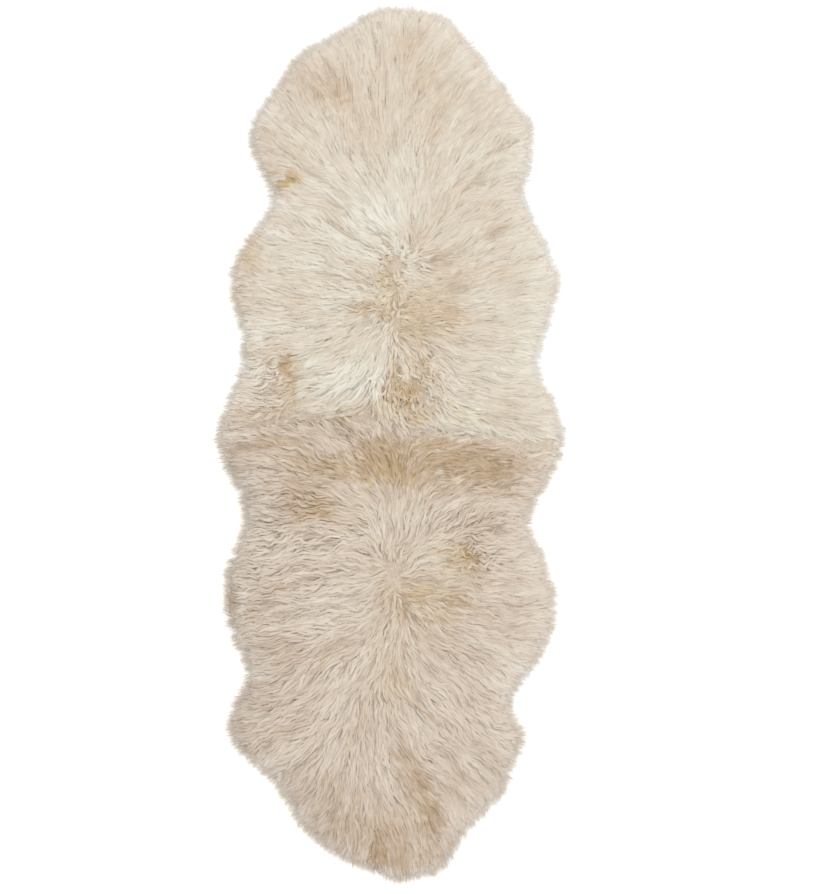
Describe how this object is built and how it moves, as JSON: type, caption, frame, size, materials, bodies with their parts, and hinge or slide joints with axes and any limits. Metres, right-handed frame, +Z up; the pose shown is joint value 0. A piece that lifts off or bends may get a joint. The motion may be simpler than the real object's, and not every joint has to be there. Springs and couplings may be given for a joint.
{
  "type": "sheepskin rug",
  "caption": "Long rug of two whole long-wool sheepskins sewn hips to hips, with a wavy animal outline and cream to tan wool combed outwards. It lies flat, wool side up.",
  "frame": {"origin": "middle of the rug's footprint, on the floor that it lies on", "axes": "+Y along the rug's length, towards the neck of the upper pelt; +Z up, out of the wool; +X to the right, looking down on the wool with +Y away from you"},
  "size_m": [0.723, 1.8004, 0.046],
  "materials": {
    "wool": "matte",
    "hide": "matte"
  },
  "bodies": {
    "root": {"pelt_upper": "wool", "pelt_lower": "wool"}
  },
  "joints": []
}
